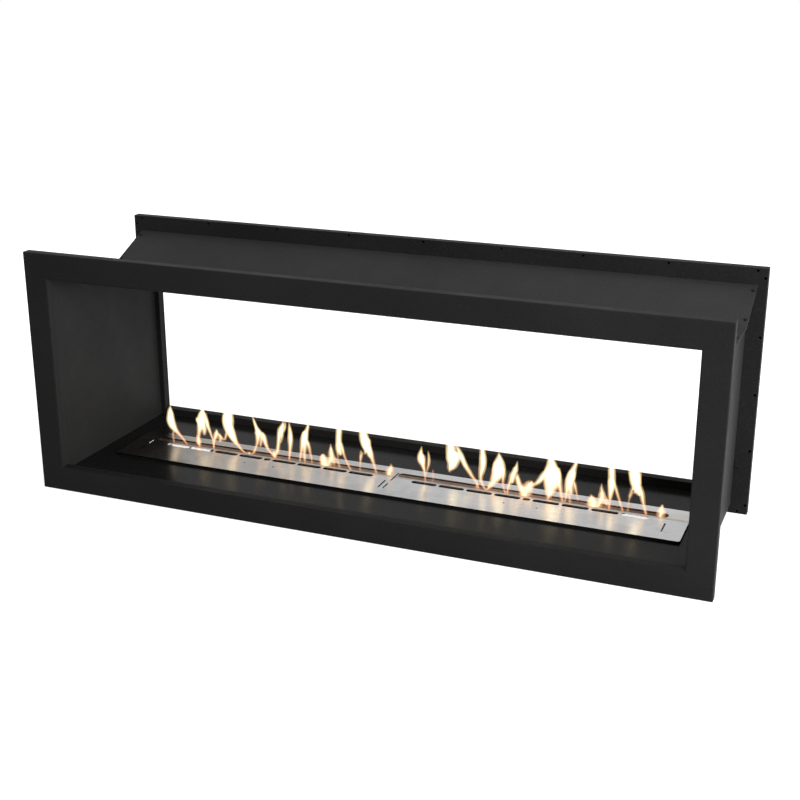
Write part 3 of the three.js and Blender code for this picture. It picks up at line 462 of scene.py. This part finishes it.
RIGHT_TONGUES = [
    (1.0, [(69, 131, 2), (68, 119, 9), (67, 106, 17), (69, 94, 21), (73, 83, 15), (76, 72, 9), (78, 57, 4),
           (79, 43, 3), (79, 36, 2)]),
    (0.7, [(85, 121, 2), (87, 109, 7), (88, 96, 9), (87, 84, 8), (83, 67, 4), (81, 51, 3)]),
    (0.4, [(98, 75, 2), (99, 67, 5), (99, 57, 3), (99, 45, 2), (99, 36, 2)]),
    (1.0, [(140, 167, 3), (142, 155, 17), (144, 143, 25), (146, 127, 28), (148, 111, 31), (147, 97, 25),
           (143, 85, 18), (141, 74, 5)]),
    (1.0, [(157, 144, 12), (166, 128, 18), (174, 114, 17), (182, 99, 17), (191, 86, 16), (199, 74, 13), (207, 64, 10),
           (213, 54, 6), (216, 43, 4), (217, 36, 3)]),
    (1.0, [(225, 168, 3), (224, 153, 11), (224, 138, 15), (225, 122, 19), (225, 106, 19), (223, 90, 17),
           (221, 75, 11), (223, 62, 9), (229, 51, 8), (235, 42, 5), (238, 36, 4)]),
    (0.5, [(212, 60, 6), (211, 49, 6), (210, 41, 4), (209, 36, 3)]),
    (1.0, [(264, 144, 2), (266, 133, 14), (267, 119, 27), (267, 105, 32), (263, 89, 31), (255, 74, 24), (248, 60, 16),
           (240, 48, 11), (234, 41, 4), (230, 36, 3)]),
    (0.9, [(277, 105, 13), (278, 89, 12), (277, 73, 8), (278, 59, 5), (283, 43, 4), (284, 36, 3)]),
    (0.9, [(311, 128, 2), (309, 116, 8), (306, 103, 14), (300, 91, 17), (296, 77, 13), (291, 62, 9), (288, 43, 4),
           (287, 36, 3)]),
    (0.8, [(311, 96, 10), (314, 83, 11), (318, 70, 13), (324, 59, 20), (328, 49, 22), (330, 42, 16), (332, 36, 12)]),
    (0.9, [(349, 84, 11), (344, 75, 25), (338, 64, 32), (333, 52, 32), (331, 42, 20), (331, 36, 15)]),
    (0.8, [(379, 110, 15), (372, 98, 17), (364, 86, 16), (356, 78, 13)]),
    (1.0, [(391, 172, 3), (392, 158, 11), (393, 145, 18), (395, 129, 29), (395, 114, 37), (394, 98, 38),
           (393, 82, 35), (392, 68, 27), (390, 55, 16), (388, 42, 6), (388, 36, 4)]),
    (0.9, [(408, 127, 15), (411, 109, 17), (413, 92, 17), (417, 74, 13), (420, 59, 10), (424, 43, 5), (425, 36, 4)]),
    (1.0, [(455, 170, 2), (454, 155, 7), (451, 141, 10), (447, 128, 15), (443, 113, 21), (439, 98, 22), (435, 82, 17),
           (433, 67, 11), (431, 52, 5), (429, 43, 3), (428, 36, 2)]),
    (0.8, [(449, 97, 10), (453, 84, 9), (456, 73, 6), (459, 62, 3), (461, 49, 3)]),
    (0.4, [(440, 82, 8), (439, 66, 11), (441, 51, 9), (442, 41, 4), (442, 36, 3)]),
    (0.9, [(490, 72, 4), (493, 63, 18), (495, 54, 27), (498, 46, 28), (500, 40, 18), (501, 36, 14)]),
    (0.8, [(515, 104, 2), (515, 92, 8), (517, 80, 15), (517, 67, 20), (513, 55, 20), (508, 43, 14), (505, 36, 10)]),
    (0.5, [(525, 73, 6), (530, 63, 11), (534, 53, 9), (536, 43, 4), (537, 36, 3)]),
    (1.0, [(537, 169, 3), (537, 155, 12), (537, 142, 17), (538, 127, 18), (538, 111, 18), (538, 95, 15),
           (537, 80, 10), (536, 64, 6), (535, 45, 3), (534, 36, 2)]),
    (0.9, [(544, 112, 8), (549, 95, 9), (554, 80, 8), (559, 65, 7), (564, 52, 5), (567, 43, 3), (569, 36, 2)]),
    (1.0, [(581, 175, 2), (583, 160, 17), (586, 145, 25), (590, 129, 28), (593, 113, 25), (595, 100, 16),
           (591, 90, 7)]),
    (0.9, [(603, 109, 13), (608, 93, 14), (612, 76, 11), (616, 61, 8), (620, 48, 6), (622, 42, 3), (624, 36, 2)]),
    (0.5, [(588, 94, 8), (583, 83, 8), (580, 70, 4), (579, 55, 3), (579, 43, 3), (579, 36, 2)]),
    (0.7, [(657, 74, 2), (657, 64, 12), (657, 56, 19), (655, 48, 20), (654, 42, 17), (653, 36, 13)]),
    (0.8, [(68, 113, 2), (69, 106, 18), (71, 96, 19), (74, 87, 12), (76, 82, 2)]),
    (0.8, [(155, 133, 2), (155, 124, 30), (155, 108, 27), (151, 92, 21), (145, 83, 13), (142, 79, 2)]),
    (0.9, [(264, 126, 2), (264, 117, 23), (264, 96, 32), (259, 80, 29), (252, 65, 19), (242, 52, 11), (239, 49, 2)]),
    (0.7, [(307, 113, 2), (306, 108, 13), (303, 89, 15), (300, 74, 11), (299, 70, 2)]),
    (0.9, [(309, 91, 2), (311, 86, 11), (318, 69, 18), (329, 59, 26), (341, 67, 28), (351, 76, 21), (357, 81, 2)]),
    (0.8, [(388, 119, 2), (384, 112, 19), (375, 96, 16), (363, 82, 16), (354, 74, 13), (350, 71, 2)]),
    (0.9, [(398, 133, 2), (398, 124, 32), (399, 104, 39), (397, 84, 37), (393, 65, 25), (390, 52, 14), (389, 47, 2)]),
    (0.7, [(445, 127, 2), (444, 120, 18), (440, 100, 23), (441, 83, 21), (444, 68, 15), (445, 62, 2)]),
    (0.9, [(491, 68, 2), (493, 61, 17), (496, 49, 27), (496, 36, 20), (496, 35, 2)]),
    (0.6, [(514, 84, 2), (516, 78, 15), (520, 65, 19), (528, 54, 14), (531, 49, 2)]),
    (0.8, [(537, 119, 2), (537, 113, 16), (537, 91, 14), (536, 70, 9), (536, 66, 2)]),
    (0.9, [(588, 150, 2), (590, 141, 29), (593, 124, 25), (597, 105, 22), (603, 91, 16), (606, 85, 2)]),
    (0.4, [(589, 106, 2), (587, 101, 12), (583, 90, 9), (580, 81, 6), (579, 77, 2)]),
    (0.9, [(658, 73, 2), (657, 68, 7), (656, 61, 14), (656, 53, 17), (656, 46, 2)]),
]
# Also in millimetres: where a tongue starts, how low its points may lie, what is added to its width everywhere and
# the height below which more is added, its sway at a height above its foot, and half its greatest depth
FOOT, LOWEST = 34, 34.2
ADDED_WIDTH, WIDER_BELOW = 2.6, 95
SWAY, SWAY_HEIGHT = 3.5, 140
HALF_DEPTH = 9.0
# Each sheet's turn about the spine and share of the width, and its points from edge to edge
SHEETS = ((0, 1.0), (math.radians(62), 0.62), (math.radians(-62), 0.62))
ACROSS_SHEET = (-1, -0.5, 0, 0.5, 1)


def curve_through(points, steps=6):
    """Points of a smooth curve that passes through the given ones."""
    rows = [Vector(p) for p in points]
    padded = [2 * rows[0] - rows[1]] + rows + [2 * rows[-1] - rows[-2]]
    out = []
    for i in range(1, len(padded) - 2):
        a, b, c, d = padded[i - 1:i + 3]
        for step in range(steps):
            t = step / steps
            out.append(0.5 * (2 * b + (c - a) * t + (2 * a - 5 * b + 4 * c - d) * t * t
                              + (3 * b - a - 3 * c + d) * t * t * t))
    out.append(rows[-1])
    return out


def tongue_sheets(points, strength, phase, places, burns, faces):
    """Adds one tongue: three sheets that cross on its spine, the widest in the plane of the trough."""
    spine = curve_through(points)
    last = len(spine) - 1
    columns = len(ACROSS_SHEET)
    for turn, share in SHEETS:
        first = len(places)
        for i, (x, z, width) in enumerate(spine):
            ahead, behind = spine[min(i + 1, last)], spine[max(i - 1, 0)]
            along = Vector((ahead[0] - behind[0], ahead[1] - behind[1])).normalized()
            across = Vector((-along[1], along[0]))
            half = (width + ADDED_WIDTH + max(0.0, WIDER_BELOW - z) / 20) / 2 * max(abs(across[0]), 0.6)
            sway = SWAY * (z - FOOT) / SWAY_HEIGHT * math.sin(z * 0.05 + phase)
            depth = max(-HALF_DEPTH, min(HALF_DEPTH, math.sin(turn) * half * share))
            side = math.cos(turn) * half * share
            fade = min(1.0, 0.25 + 3.0 * (last - i) / last, 0.35 + 4.0 * i / last)
            for u in ACROSS_SHEET:
                places.append(((x + across[0] * side * u) * MM, TROUGH_Y + (sway + depth * u) * MM,
                               max(z + across[1] * side * u, LOWEST) * MM))
                # How far in from the rim, how high up, and how solid
                burns.append((half * (1 - abs(u)) / 20, z / 200, strength * fade, 1))
        for i in range(last):
            for k in range(columns - 1):
                a = first + i * columns + k
                faces.append((a, a + 1, a + columns + 1, a + columns))


def make_flames(name, tongues, material):
    """Flames of one trough: they ride on the burner."""
    places, burns, faces = [], [], []
    for number, (strength, points) in enumerate(tongues):
        tongue_sheets(points, strength, number * 1.7, places, burns, faces)
    mesh = bpy.data.meshes.new(name)
    mesh.from_pydata(places, [], faces)
    layer = mesh.color_attributes.new("burn", "FLOAT_COLOR", "POINT")
    for point, burn in zip(layer.data, burns):
        point.color = burn
    for polygon in mesh.polygons:
        polygon.use_smooth = True
    piece = bpy.data.objects.new(name, mesh)
    piece.data.materials.append(material)
    piece.visible_shadow = False
    bpy.context.scene.collection.objects.link(piece)
    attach(piece, "burner")
    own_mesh(piece)


# Stage and light

def rays(tree):
    """1 for rays that show a thing to the camera, and 1 for rays that show it in reflections."""
    seen = add(tree, "LightPath").outputs
    return maths(tree, "MAXIMUM", seen["Is Camera Ray"], seen["Is Transmission Ray"]), seen["Is Glossy Ray"]


def make_floor():
    """Wide pale floor: shows white to the camera, pale grey in reflections, and takes the shadow."""
    reach, count = 14.0, 24
    step = 2 * reach / count
    places = [(-reach + i * step, -reach + j * step, 0.0) for j in range(count + 1) for i in range(count + 1)]
    row = count + 1
    faces = [(j * row + i, j * row + i + 1, (j + 1) * row + i + 1, (j + 1) * row + i)
             for j in range(count) for i in range(count)]
    mesh = bpy.data.meshes.new("studio_floor")
    mesh.from_pydata(places, [], faces)
    floor = bpy.data.objects.new("studio_floor", mesh)
    floor.location = (0, 0, -0.0005)
    bpy.context.scene.collection.objects.link(floor)
    material, tree, shader = new_material("studio_floor")
    shown, reflected = rays(tree)
    away = add(tree, "VectorMath", {0: place(tree, (0.7, 1, 1))}, operation="LENGTH").outputs["Value"]
    plain = spread(tree, away, 0.5, 1.3, 0.8, 1.05, "SMOOTHSTEP")
    mirrored = maths(tree, "MULTIPLY", reflected, FLOOR_IN_REFLECTIONS)
    matt = add(tree, "BsdfDiffuse", {"Color": grey(0.5)})
    strength = maths(tree, "MAXIMUM", maths(tree, "MULTIPLY", shown, plain), mirrored)
    glow = add(tree, "Emission", {"Color": grey(1.0), "Strength": strength})
    both = add(tree, "AddShader", {0: matt.outputs[0], 1: glow.outputs[0]})
    tree.nodes.remove(shader)
    tree.links.new(both.outputs[0], tree.nodes["Material Output"].inputs["Surface"])
    floor.data.materials.append(material)


def make_world():
    """White behind the object, dimmer in reflections towards the front, and soft light that falls on it."""
    world = bpy.data.worlds.new("studio")
    world.use_nodes = True
    bpy.context.scene.world = world
    tree = world.node_tree
    background = tree.nodes["Background"]
    shown, reflected = rays(tree)
    direction = split(tree, add(tree, "TexCoord").outputs["Generated"])
    mirrored = spread(tree, direction["Y"], -0.75, 0.1, 0.35, 1.0, "SMOOTHSTEP")
    strength = maths(tree, "MAXIMUM", maths(tree, "MULTIPLY", reflected, mirrored), shown)
    join(tree, maths(tree, "MAXIMUM", strength, SKY_LIGHT), background.inputs["Strength"])
    background.inputs["Color"].default_value = (1, 1, 1, 1)


def make_lamp(name, place_at, size, power):
    """Soft lamp that points at the object. Size in metres, power in watts."""
    data = bpy.data.lights.new(name, "AREA")
    data.shape = "RECTANGLE"
    data.size, data.size_y = size
    data.energy = power
    lamp = bpy.data.objects.new(name, data)
    lamp.location = place_at
    lamp.rotation_euler = (LAMP_AIM - Vector(place_at)).to_track_quat("-Z", "Y").to_euler()
    bpy.context.scene.collection.objects.link(lamp)


make_camera()
dress()
flame = flame_material()
make_flames("left_flames", LEFT_TONGUES, flame)
make_flames("right_flames", RIGHT_TONGUES, flame)
make_floor()
make_world()
make_lamp("right_softbox", (4.0, -0.2, 1.2), (2.4, 2.0), 110)
make_lamp("left_softbox", (-4.0, 0.4, 1.2), (2.4, 2.0), 45)
make_lamp("top_softbox", (0.6, 0.3, 4.0), (3.2, 2.4), 60)
make_lamp("front_softbox", (2.2, -2.4, 1.6), (1.6, 1.4), 95)

bpy.context.scene.view_settings.view_transform = "Standard"
